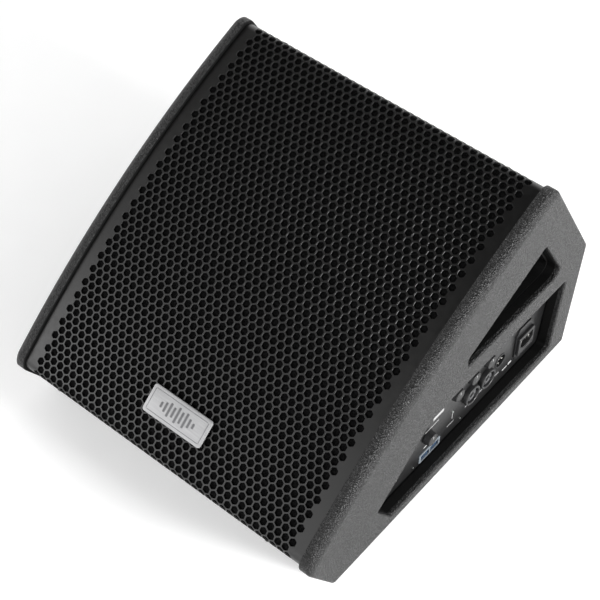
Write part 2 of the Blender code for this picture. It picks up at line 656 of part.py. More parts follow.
def mains_inlet():
    """Mains inlet with a raised body, a fixing flange and a fuse drawer under the socket."""
    y, z = INLET
    half, proud = 0.0140, 0.0055
    flange = [(y - 0.0105, z - 0.0250), (y + 0.0105, z - 0.0250), (y + 0.0155, z - 0.0165), (y + 0.0155, z + 0.0165),
              (y + 0.0105, z + 0.0250), (y - 0.0105, z + 0.0250), (y - 0.0155, z + 0.0165), (y - 0.0155, z - 0.0165)]
    inlet = prism("mains_inlet", rounded(flange, [0.002] * 8, 2), PANEL_X + GAP, PANEL_X + 0.0018, "black_plastic")
    corners = [(y - half, z - half), (y + half, z - half), (y + half, z + half), (y - half, z + half)]
    body = rounded(corners, [0.0015] * 4, 3)
    add(inlet, loft("inlet_body", [(PANEL_X - 0.022, body), (PANEL_X + proud - 0.0006, body),
                                   (PANEL_X + proud, offset(body, -0.0006))], "black_plastic"))
    low, high, chamfer, wide = z - 0.0052, z + 0.0100, 0.0045, 0.0112
    mouth = [(y - wide + chamfer, low), (y + wide - chamfer, low), (y + wide, low + chamfer), (y + wide, high),
             (y - wide, high), (y - wide, low + chamfer)]
    mouth = [Vector(p) for p in mouth]
    cut(inlet, prism("inlet_mouth", mouth, PANEL_X - 0.0135, PANEL_X + 0.02, "black_plastic"))
    slot = (0.0215, 0.0060)
    drawer_z = z - 0.0100
    cut(inlet, block("drawer_slot", (PANEL_X - 0.018, y - slot[0] / 2, drawer_z - slot[1] / 2),
                     (PANEL_X + 0.02, y + slot[0] / 2, drawer_z + slot[1] / 2), "black_plastic"))
    drawer = block("fuse_drawer", (PANEL_X - 0.0170, y - slot[0] / 2 + GAP, drawer_z - slot[1] / 2 + GAP),
                   (PANEL_X + proud - 0.0003, y + slot[0] / 2 - GAP, drawer_z + slot[1] / 2 - GAP), "grey_plastic")
    cut(drawer, block("drawer_grip", (PANEL_X + proud - 0.0010, y - 0.004, drawer_z + 0.0010),
                      (PANEL_X + proud + 0.002, y + 0.004, drawer_z + 0.0060), "grey_plastic"))
    base = PANEL_X - 0.0132
    pins = block("inlet_pins", (base, y - 0.0095, z - 0.0005), (base + 0.0012, y + 0.0095, z + 0.0080), "plated_metal")
    for number, (dy, dz) in enumerate(((-0.007, 0.0015), (0.007, 0.0015), (0.0, 0.0055))):
        add(pins, block("inlet_pin_{}".format(number + 1), (base + 0.0006, y + dy - 0.0010, z + dz - 0.0020),
                        (PANEL_X + proud - 0.0020, y + dy + 0.0010, z + dz + 0.0020), "plated_metal"))


def power_switch():
    y, z = SWITCH
    wide, high = 0.0075, 0.0110
    frame = block("switch_frame", (PANEL_X + GAP, y - wide, z - high), (PANEL_X + 0.0020, y + wide, z + high),
                  "black_plastic")
    add(frame, block("switch_case", (PANEL_X - 0.0150, y - 0.0065, z - 0.0100),
                     (PANEL_X + 0.0010, y + 0.0065, z + 0.0100), "black_plastic"))
    cut(frame, block("switch_opening", (PANEL_X - 0.0120, y - 0.0054, z - 0.0090),
                     (PANEL_X + 0.0100, y + 0.0054, z + 0.0090), "black_plastic"))
    mesh = bmesh.new()
    outline = [(0.0050, -0.0082), (0.0036, 0.0), (0.0050, 0.0082), (0.0008, 0.0084), (-0.0060, 0.0040),
               (-0.0060, -0.0040), (0.0008, -0.0084)]
    sides = []
    for across in (-0.0051, 0.0051):
        sides.append([mesh.verts.new((x, across, up)) for x, up in outline])
    mesh.faces.new(sides[0])
    mesh.faces.new(list(reversed(sides[1])))
    for i in range(len(outline)):
        j = (i + 1) % len(outline)
        mesh.faces.new((sides[0][i], sides[1][i], sides[1][j], sides[0][j]))
    bmesh.ops.recalc_face_normals(mesh, faces=mesh.faces)
    rocker = finish("power_rocker", mesh, "black_plastic", 20)
    rocker.location = (PANEL_X - 0.0010, y, z)
    rocker.rotation_euler = (0, math.radians(SWITCH_TILT), 0)


def electronics():
    """The board behind the panel with its potentiometers, the heat sink and the transformer."""
    recess = [Vector(p) for p in RECESS_CORNERS]
    board = prism("amplifier_board", offset(recess, -0.006), PANEL_X - 0.0300, PANEL_X - 0.0284, "green_board")
    turners = [ENCODER] + [(column(i), KNOB_Z) for i in range(3)]
    for number, (y, z) in enumerate(turners):
        half = 0.0062
        add(board, block("pot_body_{}".format(number + 1), (PANEL_X - 0.0290, y - half, z - half),
                         (PANEL_X - 0.0060, y + half, z + half), "green_board"))
        cut(board, on_panel(round_cutter("pot_bore_{}".format(number + 1), 0.0032, -0.0120, 0.01), y, z))
    fins = 9
    pitch, base, height, thick = 0.0095, 0.004, 0.030, 0.0025
    start, low = 0.262, 0.030
    comb = [Vector((start, low)), Vector((start + pitch * (fins - 1) + thick, low))]
    for i in reversed(range(fins)):
        left = start + pitch * i
        comb += [Vector((left + thick, low + height)), Vector((left, low + height))]
        if i:
            comb += [Vector((left, low + base)), Vector((left - pitch + thick, low + base))]
    prism("heatsink", comb, PANEL_X - 0.0780, PANEL_X - 0.0303, "aluminium")
    ring = turned("transformer", [(0.012, 0), (0.030, 0), (0.035, 0.006), (0.035, 0.026), (0.030, 0.032),
                                  (0.012, 0.032)], "copper_wire", 24)
    on_panel(ring, 0.135, 0.0500, PANEL_X - 0.0625)


# ---- build --------------------------------------------------------------------------------
for old in list(bpy.data.objects):
    bpy.data.objects.remove(old, do_unlink=True)

cabinet = bpy.data.objects.new("cabinet", None)
bpy.context.scene.collection.objects.link(cabinet)
cabinet.location = (0, -Y_MIDDLE, FOOT_HEIGHT)

HANDLE = rounded(HANDLE_CORNERS, HANDLE_RADII)
for hand, side in (("left", -1), ("right", 1)):
    panel = side_panel("side_panel_" + hand, side)
    cut(panel, flare("handle_opening_" + hand, HANDLE, side * WIDTH / 2, side * INNER))
    handle_cup("handle_cup_" + hand, side, HANDLE)
    if side > 0:
        cut(panel, flare("control_opening", rounded(RECESS_CORNERS, RECESS_RADII), WIDTH / 2, INNER))

boards()
baffle()
grille()
foam()
badge()
feet()
grille_screws()
driver()
control_panel()
leds()
display()
knobs()
sockets()
mains_inlet()
power_switch()
electronics()
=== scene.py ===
"""The looks of the stage monitor wedge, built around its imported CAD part.

Side outlines are drawn in the cabinet's own (y, z), as seen from its right-hand side: y = 0 near
the bottom front corner, z = 0 on the underside. SHIFT takes them to the frame, and it is measured
on the frame itself. Everything is in metres.
"""
import json
import math

import bmesh
import bpy
import numpy as np
from mathutils import Matrix, Vector, noise


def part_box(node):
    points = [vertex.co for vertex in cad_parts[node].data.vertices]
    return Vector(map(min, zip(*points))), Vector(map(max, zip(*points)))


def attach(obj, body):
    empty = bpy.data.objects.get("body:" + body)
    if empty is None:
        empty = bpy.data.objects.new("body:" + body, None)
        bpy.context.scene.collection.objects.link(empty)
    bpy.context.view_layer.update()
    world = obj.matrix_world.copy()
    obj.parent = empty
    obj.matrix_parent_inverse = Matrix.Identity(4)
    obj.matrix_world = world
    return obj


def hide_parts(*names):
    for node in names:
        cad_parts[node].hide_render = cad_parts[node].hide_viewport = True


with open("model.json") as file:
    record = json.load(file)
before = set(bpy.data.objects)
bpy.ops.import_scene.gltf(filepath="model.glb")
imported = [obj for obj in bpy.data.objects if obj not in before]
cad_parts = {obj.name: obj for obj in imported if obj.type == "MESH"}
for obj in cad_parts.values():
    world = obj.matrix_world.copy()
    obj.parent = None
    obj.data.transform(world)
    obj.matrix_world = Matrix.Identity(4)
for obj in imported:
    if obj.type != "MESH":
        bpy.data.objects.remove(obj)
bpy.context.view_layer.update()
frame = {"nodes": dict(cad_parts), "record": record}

# ---- the cabinet's driving dimensions ----
WIDTH = 0.400
SIDE = 0.015                       # thickness of a side panel
ROUND = 0.0035                     # rounding of a side panel's outer edge
FRONT_ROUND = 0.010                # the same edge along the grille
FRONT_BLEND = 0.016                # the one rounding runs into the other over this distance
INNER_ROUND = 0.0010               # rounding of its inner edge
OPENING_ROUND = 0.0025             # rounding of the edge of its openings
PAINTED_DEPTH = 0.0060             # the openings' walls are painted this far in, and smooth near-black beyond: a dark lining with painted shade on it
PAINTED_RIM = 0.009                # no face this close to the outline counts as an opening's wall
EDGE_STEPS = 10                    # facets across a rounding
ARC_STEPS = 96                     # facets along a side panel's front arc
FOOT_HEIGHT = 0.008
FOOT_RADIUS = 0.019
FRONT_FOOT_Y = 0.047
GAP = 0.0003                       # kept between pieces that rest on each other

BOTTOM_FRONT = Vector((0.002, 0.0))
BOTTOM_BACK = Vector((0.399, 0.0))
BACK_TOP = Vector((0.4103, 0.143))
GRILLE_FRONT = Vector((-0.040, 0.068))
GRILLE_TOP = Vector((0.323, 0.294))
GRILLE_RADIUS = 1.100
PROUD = 0.0039                     # the side panels stand this far above the grille
ROOF_PROUD = 0.0030                # and above the top board
LIP_PROUD = 0.0040                 # and in front of the front board
LOW_FRONT_CORNER = 0.006           # the side panel's corners, seen from the side
LOW_BACK_CORNER = 0.005
HIGH_BACK_CORNER = 0.010
TOP_CORNER = 0.014
FRONT_TIP = 0.017
SHEET = 0.0015                     # thickness of the grille's steel
BEND = 0.011                       # radius of the grille's two folds
RETURN_LENGTH = 0.015              # the folded edges reach this far past the corner

INNER = WIDTH / 2 - SIDE
PANEL_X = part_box("control_panel")[1].x      # the control panel's outer face
RECESS_CORNERS = [(0.088, 0.0142), (0.3685, 0.0142), (0.3785, 0.1182), (0.146, 0.1182),
                  (0.064, 0.0489)]
RECESS_RADII = [0.004, 0.005, 0.005, 0.008, 0.003]
HANDLE_CORNERS = [(0.2015, 0.1459), (0.3650, 0.1447), (0.3198, 0.2203), (0.1995, 0.1599)]
HANDLE_RADII = [0.004, 0.010, 0.004, 0.003]

HOLE_PITCH = 0.00912
HOLE_ACROSS = 0.0076
HOLE_EDGE = 0.00015                # the punched edge is rounded over by this much
HOLE_BLUNT = 0.965                 # a hole's corners reach this part of a true hexagon's
HOLES_IN_ROW = (37, 38)            # in even and in odd rows
FIRST_ROW = -1
LAST_ROW = 54
MIDDLE_ROW = 26.5
ROW_OFFSET = 0.0010                # the rows' middle lies this far past the arc's, towards the top
GRILLE_SIDE_GAP = 0.0006           # the sheet stops this far short of the side panels

FOAM_THICKNESS = 0.0055
FOAM_GAP = 0.0006                  # between the sheet and the foam behind it
KNOB_BASE = 0.0084                 # a knob's radius at the panel
KNOB_TOP = 0.0072                  # and at its cap


def middle(name):
    """The middle of a CAD node's box."""
    low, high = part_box(name)
    return (low + high) / 2


SHIFT = Vector((0.0, middle("foot_front_left").y - FRONT_FOOT_Y, FOOT_HEIGHT))


# ---- outlines ----
def fillet(before, corner, after, radius, steps):
    """Points of the arc that rounds a corner."""
    before, corner, after = Vector(before), Vector(corner), Vector(after)
    inward = (before - corner).normalized()
    outward = (after - corner).normalized()
    half = inward.angle(outward) / 2
    centre = corner + (inward + outward).normalized() * (radius / math.sin(half))
    start = corner + inward * (radius / math.tan(half)) - centre
    turn = inward.x * outward.y - inward.y * outward.x
    sweep = (math.pi - 2 * half) * (-1.0 if turn > 0 else 1.0)
    return [centre + Matrix.Rotation(sweep * i / steps, 2) @ start for i in range(steps + 1)]


def rounded(corners, radii, steps=10):
    """A closed outline with every corner rounded."""
    outline = []
    for i, corner in enumerate(corners):
        outline += fillet(corners[i - 1], corner, corners[(i + 1) % len(corners)], radii[i], steps)
    return outline


def rectangle(width, height, radius, steps=6):
    """A rounded rectangle about the origin."""
    x, y = width / 2, height / 2
    return rounded([(-x, -y), (x, -y), (x, y), (-x, y)], [radius] * 4, steps)


def offset(outline, distance):
    """A counter-clockwise outline moved outward, corner by corner, by one distance or by a list."""
    distances = distance if isinstance(distance, list) else [distance] * len(outline)
    moved = []
    for i, point in enumerate(outline):
        a = (point - outline[i - 1]).normalized()
        b = (outline[(i + 1) % len(outline)] - point).normalized()
        normal_a, normal_b = Vector((a.y, -a.x)), Vector((b.y, -b.x))
        bisector = (normal_a + normal_b).normalized()
        moved.append(point + bisector * (distances[i] / max(bisector.dot(normal_a), 0.3)))
    return moved


def arc_centre():
    """The centre of the circle that the grille's face lies on."""
    chord = GRILLE_TOP - GRILLE_FRONT
    outward = Vector((-chord.y, chord.x)).normalized()
    drop = math.sqrt(GRILLE_RADIUS ** 2 - (chord.length / 2) ** 2)
    return (GRILLE_FRONT + GRILLE_TOP) / 2 - outward * drop


CENTRE = arc_centre()
LIP = (BOTTOM_FRONT - GRILLE_FRONT).normalized()
ROOF = (BACK_TOP - GRILLE_TOP).normalized()


def on_circle(start, end, radius):
    """Where the line from start through end meets the circle of this radius about CENTRE."""
    along = (end - start).normalized()
    to_centre = CENTRE - start
    nearest = to_centre.dot(along)
    across = to_centre - along * nearest
    reach = math.sqrt(radius ** 2 - across.length_squared)
    hits = [start + along * (nearest - reach), start + along * (nearest + reach)]
    return min(hits, key=lambda hit: (hit - end).length)


def front_arc(start, end, radius, steps):
    """Points from start to end along the circle about CENTRE."""
    first = math.atan2(start.y - CENTRE.y, start.x - CENTRE.x)
    last = math.atan2(end.y - CENTRE.y, end.x - CENTRE.x)
    angles = [first + (last - first) * i / steps for i in range(steps + 1)]
    return [CENTRE + Vector((math.cos(a), math.sin(a))) * radius for a in angles]


def meet(point, along, other, other_along):
    """Where two lines in the side view cross."""
    across = along.x * other_along.y - along.y * other_along.x
    gap = other - point
    return point + along * ((gap.x * other_along.y - gap.y * other_along.x) / across)


def side_outline():
    """The closed outline of a side panel, proud of the grille and of the boards next to it."""
    radius = GRILLE_RADIUS + PROUD
    lip_line = BOTTOM_FRONT + Vector((LIP.y, -LIP.x)) * LIP_PROUD
    roof_line = BACK_TOP + Vector((-ROOF.y, ROOF.x)) * ROOF_PROUD
    low = meet(lip_line, LIP, BOTTOM_FRONT, BOTTOM_BACK - BOTTOM_FRONT)
    high = meet(roof_line, ROOF, BACK_TOP, BACK_TOP - BOTTOM_BACK)
    front = on_circle(low, lip_line - LIP * (BOTTOM_FRONT - GRILLE_FRONT).length, radius)
    top = on_circle(high, roof_line - ROOF * (BACK_TOP - GRILLE_TOP).length, radius)
    arc = front_arc(front, top, radius, ARC_STEPS)
    under_fillets = 4
    outline = fillet(front, low, BOTTOM_BACK, LOW_FRONT_CORNER, 14)
    outline += fillet(low, BOTTOM_BACK, high, LOW_BACK_CORNER, 10)
    outline += fillet(BOTTOM_BACK, high, top, HIGH_BACK_CORNER, 12)
    outline += fillet(high, top, arc[-2], TOP_CORNER, 16)
    outline += reversed(arc[under_fillets:-under_fillets])
    outline += fillet(arc[1], front, low, FRONT_TIP, 20)
    return outline


# ---- meshes ----
def piece(name, mesh, material, body="cabinet", replaces=(), sharp=35, accent=None,
          where=None):
    """A finished object from a bmesh or mesh whose vertices are already in the frame. Faces for
    which where(centre) is true get the accent material."""
    if isinstance(mesh, bmesh.types.BMesh):
        data = bpy.data.meshes.new(name)
        mesh.normal_update()
        mesh.to_mesh(data)
        mesh.free()
    else:
        data = mesh
    data.shade_smooth()
    data.set_sharp_from_angle(angle=math.radians(sharp))
    data.materials.clear()
    data.materials.append(material)
    if accent:
        data.materials.append(accent)
        for face in data.polygons:
            face.material_index = int(where(face.center))
    item = bpy.data.objects.new(name, data)
    bpy.context.scene.collection.objects.link(item)
    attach(item, body)
    if replaces:
        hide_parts(*replaces)
    return item


def bridged(rings):
    """A closed bmesh through rings of points, each ring having the same number of them."""
    mesh = bmesh.new()
    made = [[mesh.verts.new(p) for p in points] for points in rings]
    mesh.faces.new(made[0])
    mesh.faces.new(list(reversed(made[-1])))
    for low, high in zip(made, made[1:]):
        for i in range(len(low)):
            j = (i + 1) % len(low)
            mesh.faces.new((low[i], high[i], high[j], low[j]))
    bmesh.ops.recalc_face_normals(mesh, faces=mesh.faces)
    return mesh


def lofted(sections):
    """A solid through side outlines, each at its own x, moved into the frame."""
    return bridged([[Vector((x, *p)) + SHIFT for p in outline] for x, outline in sections])


def turned(profile, place, steps, flutes=0, flute_depth=0.0, fluted=()):
    """A solid of revolution about local Z, carried by the matrix place. Rings whose index is in
    fluted have a wavy edge."""
    mesh = bmesh.new()
    tips = {}
    rings = []
    for i in range(steps):
        angle = 2 * math.pi * i / steps
        wave = 0.5 - 0.5 * math.cos(flutes * angle)
        verts = []
        for j, (radius, z) in enumerate(profile):
            if radius <= 0:
                if j not in tips:
                    tips[j] = mesh.verts.new(place @ Vector((0, 0, z)))
                verts.append(tips[j])
                continue
            reach = radius - (flute_depth * wave if j in fluted else 0)
            at = Vector((reach * math.cos(angle), reach * math.sin(angle), z))
            verts.append(mesh.verts.new(place @ at))
        rings.append(verts)
    for i in range(steps):
        here, there = rings[i], rings[(i + 1) % steps]
        for j in range(len(profile)):
            k = (j + 1) % len(profile)
            corners = list(dict.fromkeys((here[j], there[j], there[k], here[k])))
            if len(corners) > 2:
                mesh.faces.new(corners)
    bmesh.ops.recalc_face_normals(mesh, faces=mesh.faces)
    return mesh


def carved(name, mesh, cutters):
    """The mesh less its cutters, as an evaluated mesh."""
    data = bpy.data.meshes.new(name)
    mesh.to_mesh(data)
    mesh.free()
    item = bpy.data.objects.new(name, data)
    bpy.context.scene.collection.objects.link(item)
    tools = []
    for number, cutter in enumerate(cutters):
        tool_data = bpy.data.meshes.new("{}_cutter_{}".format(name, number))
        cutter.to_mesh(tool_data)
        cutter.free()
        tool = bpy.data.objects.new(tool_data.name, tool_data)
        bpy.context.scene.collection.objects.link(tool)
        boolean = item.modifiers.new("cut", "BOOLEAN")
        boolean.operation = "DIFFERENCE"
        boolean.solver = "EXACT"
        boolean.object = tool
        tools.append(tool)
    bpy.context.view_layer.update()
    cut = item.evaluated_get(bpy.context.evaluated_depsgraph_get())
    result = bpy.data.meshes.new_from_object(cut)
    for old in [item, *tools]:
        bpy.data.objects.remove(old)
    return result


def boxed(low, high, place):
    """A bmesh box between two corners, used as a cutter."""
    mesh = bmesh.new()
    bmesh.ops.create_cube(mesh, size=1.0)
    size = Matrix.Diagonal((*(high - low), 1.0))
    centred = Matrix.Translation((low + high) / 2) @ size
    bmesh.ops.transform(mesh, verts=mesh.verts, matrix=place @ centred)
    return mesh


def plate(outline, place, thickness, bevel):
    """A flat plate from an outline in local XY, with a small bevel round its upper edge."""
    rings = [[place @ Vector((*p, 0)) for p in outline]]
    for drop, inset in ((bevel, 0.0), (bevel * 0.3, bevel * 0.3), (0.0, bevel)):
        rings.append([place @ Vector((*p, thickness - drop)) for p in offset(outline, -inset)])
    return bridged(rings)


def on_panel(name):
    """The matrix of a turned piece that stands on the control panel, over a CAD node's middle."""
    at = middle(name)
    return Matrix.Translation((PANEL_X, at.y, at.z)) @ Matrix.Rotation(math.pi / 2, 4, "Y")


def about(place, angle, reach):
    """The matrix of a piece that stands this far from the axis of another, at an angle."""
    return place @ Matrix.Rotation(angle, 4, "Z") @ Matrix.Translation((reach, 0, 0))


# ---- materials ----
def new_material(name):
    made = bpy.data.materials.new(name)
    made.use_nodes = True
    return made, made.node_tree, made.node_tree.nodes["Principled BSDF"]


def add_node(tree, kind, values=None, **settings):
    made = tree.nodes.new("ShaderNode" + kind)
    for key, value in settings.items():
        setattr(made, key, value)
    for key, value in (values or {}).items():
        made.inputs[key].default_value = value
    return made


def coordinates(tree, stretch=(1.0, 1.0, 1.0)):
    source = add_node(tree, "TexCoord")
    mapping = add_node(tree, "Mapping", {"Scale": stretch})
    tree.links.new(source.outputs["Object"], mapping.inputs["Vector"])
    return mapping.outputs["Vector"]


def noise_field(tree, vector, scale, detail, rough=0.5):
    made = add_node(tree, "TexNoise", {"Scale": scale, "Detail": detail, "Roughness": rough})
    tree.links.new(vector, made.inputs["Vector"])
    return made.outputs["Fac"]


def cell_field(tree, vector, scale, feature="F1"):
    made = add_node(tree, "TexVoronoi", {"Scale": scale}, feature=feature)
    tree.links.new(vector, made.inputs["Vector"])
    return made.outputs["Distance"]


def remapped(tree, value, low, high, to_low, to_high):
    made = add_node(tree, "MapRange", {"From Min": low, "From Max": high,
                                       "To Min": to_low, "To Max": to_high})
    tree.links.new(value, made.inputs["Value"])
    return made.outputs["Result"]


def blended(tree, factor, first, second):
    """A colour between two, by a field."""
    made = add_node(tree, "Mix", data_type="RGBA")
    tree.links.new(factor, made.inputs["Factor"])
    for socket, value in ((made.inputs[6], first), (made.inputs[7], second)):
        if isinstance(value, tuple):
            socket.default_value = (*value, 1.0)
        else:
            tree.links.new(value, socket)
    return made.outputs[2]


def combined(tree, first, second, operation):
    """The sum or product of two fields, or of a field and a number."""
    made = add_node(tree, "Math", operation=operation)
    for socket, value in zip(made.inputs, (first, second)):
        if isinstance(value, float):
            socket.default_value = value
        else:
            tree.links.new(value, socket)
    return made.outputs["Value"]


def coloured(tree, shader, factor, first, second, socket="Base Color"):
    """Give the shader a colour between two, by a field."""
    tree.links.new(blended(tree, factor, first, second), shader.inputs[socket])


def bumped(tree, shader, height, distance):
    made = add_node(tree, "Bump", {"Distance": distance, "Strength": 1.0})
    tree.links.new(height, made.inputs["Height"])
    tree.links.new(made.outputs["Normal"], shader.inputs["Normal"])


def grey(level):
    """A colour without a tint."""
    return (level, level, level)


def grained(name, dark, light, rough, grain, bump, metallic=0.0, stretch=(1, 1, 1), ior=None):
    """A material whose colour, roughness and height all follow one grain."""
    made, tree, shader = new_material(name)
    vector = coordinates(tree, stretch)
    fine = noise_field(tree, vector, grain, 3.0)
    broad = noise_field(tree, vector, grain / 14, 2.0)
    coloured(tree, shader, remapped(tree, fine, 0.32, 0.68, 0.0, 1.0), dark, light)
    mixed = combined(tree, fine, broad, "ADD")
    tree.links.new(remapped(tree, mixed, 0.75, 1.25, *rough), shader.inputs["Roughness"])
    shader.inputs["Metallic"].default_value = metallic
    if ior:
        shader.inputs["IOR"].default_value = ior
    bumped(tree, shader, fine, bump)
    return made


def texture_paint():
    """Sprayed structure paint: hard satin droplets with dark pits between them; the colour follows
    the droplets' height, painted shade in the pits and painted highlight on the tops.
    """
    made, tree, shader = new_material("texture_paint")
    vector = coordinates(tree)
    grains = noise_field(tree, vector, 520.0, 2.5, 0.6)
    droplets = cell_field(tree, vector, 640.0)
    drops = remapped(tree, droplets, 0.0, 0.75, 1.0, 0.0)
    height = combined(tree, combined(tree, grains, 0.7, "MULTIPLY"),
                      combined(tree, drops, 0.3, "MULTIPLY"), "ADD")
    # painted shade and highlight: the colour is dark where the bump is low, in the pits, and light
    # on the droplet tops
    tone = remapped(tree, height, 0.44, 0.58, 0.0, 1.0)
    coloured(tree, shader, tone, grey(0.0010), (0.0230, 0.0230, 0.0234))
    tree.links.new(remapped(tree, height, 0.35, 0.65, 0.50, 0.24), shader.inputs["Roughness"])
    shader.inputs["IOR"].default_value = 1.40
    bumped(tree, shader, height, 0.0020)
    return made


def open_foam():
    """Open-cell foam, almost black, with pores; painted shade makes it darker down in the pores."""
    made, tree, shader = new_material("foam")
    vector = coordinates(tree)
    pores = cell_field(tree, vector, 480.0)
    fibres = noise_field(tree, vector, 1500.0, 3.0, 0.6)
    level = combined(tree, pores, fibres, "MULTIPLY")
    # painted shade: darker where the bump sinks into the pores
    tone = remapped(tree, level, 0.05, 0.40, 0.0, 1.0)
    coloured(tree, shader, tone, grey(0.0004), (0.0060, 0.0060, 0.0062))
    shader.inputs["Roughness"].default_value = 1.0
    shader.inputs["Specular IOR Level"].default_value = 0.1
    bumped(tree, shader, level, 0.0008)
    return made


def plywood():
    """Bare board with long grain along X."""
    made, tree, shader = new_material("plywood")
    vector = coordinates(tree, (0.06, 1.0, 1.0))
    grain = noise_field(tree, vector, 300.0, 5.0, 0.65)
    bands = noise_field(tree, vector, 40.0, 2.0)
    tone = combined(tree, grain, bands, "MULTIPLY")
    level = remapped(tree, tone, 0.12, 0.40, 0.0, 1.0)
    coloured(tree, shader, level, (0.20, 0.12, 0.06), (0.50, 0.34, 0.20))
    shader.inputs["Roughness"].default_value = 0.72
    bumped(tree, shader, grain, 0.0003)
    return made


def circuit_board():
    """Dark green lacquer, lighter over the traces."""
    made, tree, shader = new_material("green_board")
    vector = coordinates(tree)
    cells = cell_field(tree, vector, 260.0, "DISTANCE_TO_EDGE")
    traces = remapped(tree, cells, 0.02, 0.10, 0.0, 1.0)
    coloured(tree, shader, traces, (0.10, 0.30, 0.10), (0.010, 0.090, 0.035))
    shader.inputs["Roughness"].default_value = 0.35
    bumped(tree, shader, traces, 0.0001)
    return made


def wound_wire():
    """Enamelled wire, laid turn by turn, painted darker between the turns as painted shade and
    lighter on their crowns as painted highlight.
    """
    made, tree, shader = new_material("copper_wire")
    vector = coordinates(tree)
    turns = add_node(tree, "TexWave", {"Scale": 260.0, "Distortion": 1.5, "Detail": 2.0})
    tree.links.new(vector, turns.inputs["Vector"])
    field = turns.outputs["Fac"]
    # painted shade and highlight: dark in the grooves between turns, light on their crowns
    coloured(tree, shader, field, (0.25, 0.08, 0.03), (0.66, 0.30, 0.12))
    shader.inputs["Metallic"].default_value = 0.9
    shader.inputs["Roughness"].default_value = 0.35
    bumped(tree, shader, field, 0.0003)
    return made


def lens(name, color, glow, strength, rough=0.12):
    """A window or lamp with a light behind it, brightest in patches; rough for a frosted one."""
    made, tree, shader = new_material(name)
    vector = coordinates(tree)
    patches = remapped(tree, noise_field(tree, vector, 500.0, 1.0), 0.3, 0.7, 0.4, 1.0)
    coloured(tree, shader, patches, tuple(c * 0.6 for c in color), color)
    coloured(tree, shader, patches, tuple(c * 0.5 for c in glow), glow, "Emission Color")
    shader.inputs["Emission Strength"].default_value = strength
    shader.inputs["Roughness"].default_value = rough
    return made


MATERIALS = {
    "texture_paint": texture_paint(),
    "foam": open_foam(),
    "plywood": plywood(),
    "green_board": circuit_board(),
    "copper_wire": wound_wire(),
    "powder_coat": grained("powder_coat", (0.0025, 0.0023, 0.0022), (0.0040, 0.0038, 0.0036),
                           (0.30, 0.40), 2600.0, 0.00002, ior=1.55),
    "brushed_silver": grained("brushed_silver", (0.30, 0.30, 0.305), (0.38, 0.38, 0.385),
                              (0.36, 0.50), 900.0, 0.00001, metallic=0.35, stretch=(0.05, 1, 1)),
    "black_plastic": grained("black_plastic", (0.005, 0.005, 0.0055), (0.010, 0.010, 0.0105),
                             (0.34, 0.50), 2200.0, 0.00004),
    "grey_plastic": grained("grey_plastic", (0.012, 0.012, 0.0125), (0.020, 0.020, 0.0205),
                            (0.34, 0.48), 1800.0, 0.00003),
    "white_plastic": grained("white_plastic", (0.11, 0.125, 0.14), (0.15, 0.165, 0.18),
                             (0.34, 0.46), 1500.0, 0.00002),
    "panel_metal": grained("panel_metal", (0.004, 0.004, 0.0042), (0.008, 0.008, 0.0082),
                           (0.32, 0.44), 2400.0, 0.00003),
    "plated_metal": grained("plated_metal", (0.66, 0.65, 0.61), (0.82, 0.81, 0.77),
                            (0.14, 0.26), 1600.0, 0.00001, metallic=1.0),
    "black_rubber": grained("black_rubber", (0.014, 0.014, 0.014), (0.028, 0.028, 0.027),
                            (0.70, 0.88), 1300.0, 0.00008),
    "paper_cone": grained("paper_cone", (0.016, 0.015, 0.014), (0.034, 0.033, 0.031),
                          (0.80, 0.95), 700.0, 0.0002),
    "cast_frame": grained("cast_frame", (0.018, 0.018, 0.020), (0.036, 0.036, 0.040),
                          (0.42, 0.58), 900.0, 0.00015),
    "ferrite": grained("ferrite", (0.040, 0.040, 0.045), (0.075, 0.075, 0.080),
                       (0.50, 0.68), 500.0, 0.0001, metallic=0.3),
    "aluminium": grained("aluminium", (0.54, 0.55, 0.57), (0.70, 0.71, 0.73),
                         (0.26, 0.40), 800.0, 0.00003, metallic=1.0, stretch=(0.08, 1, 1)),
    "display_glass": lens("display_glass", (0.006, 0.014, 0.032), (0.02, 0.07, 0.20), 0.05),
    "led_lens": lens("led_lens", (0.040, 0.043, 0.041), (0.10, 0.11, 0.10), 0.0, 0.45),
}
# Near-black, darker than the plastics: the real dark of the handle cups, the link socket's well and
# the boards' inner faces, with painted shade in it where the openings and wells run deep.
BLACK_AND_PAINTED_SHADE = grained("black_and_painted_shade", grey(0.001), grey(0.004), (0.50, 0.65),
                       1400.0, 0.00006, ior=1.22)
PRINT = grained("panel_print", grey(0.24), grey(0.32), (0.50, 0.62), 1800.0, 0.00001)
MARK_GREY = grained("badge_mark", (0.085, 0.086, 0.090), (0.13, 0.13, 0.135), (0.42, 0.55),
                    1500.0, 0.00001)
CAP_GREY = grained("knob_cap", (0.006, 0.006, 0.0062), (0.010, 0.010, 0.0102), (0.42, 0.54),
                   1800.0, 0.00003)
# The combo sockets' disc, lighter than their black body: painted light on the face the lamp falls
# on.
SOCKET_DISC_PAINTED_LIGHT = grained("socket_disc_painted_light", (0.030, 0.030, 0.032), (0.050, 0.050, 0.052), (0.36, 0.48),
                      1800.0, 0.00003)
LIT_BLUE = lens("lit_blue", (0.03, 0.06, 0.11), (0.06, 0.12, 0.20), 0.3)
SIGNAL_GLOW = lens("signal_glow", (0.06, 0.065, 0.06), (0.40, 0.44, 0.42), 0.5, 0.45)

for part in frame["record"]["subparts"]:
    shown = frame["nodes"][part["node"]]
    shown.data.materials.clear()
    shown.data.materials.append(MATERIALS[part["material_slot"]])
# The handle cups take the near-black: painted shade deep in the handle openings.
for hand in ("left", "right"):
    frame["nodes"]["handle_cup_" + hand].data.materials[0] = BLACK_AND_PAINTED_SHADE


# ---- side panels ----
CHEEK = side_outline()
RECESS = rounded(RECESS_CORNERS, RECESS_RADII)
HANDLE = rounded(HANDLE_CORNERS, HANDLE_RADII)


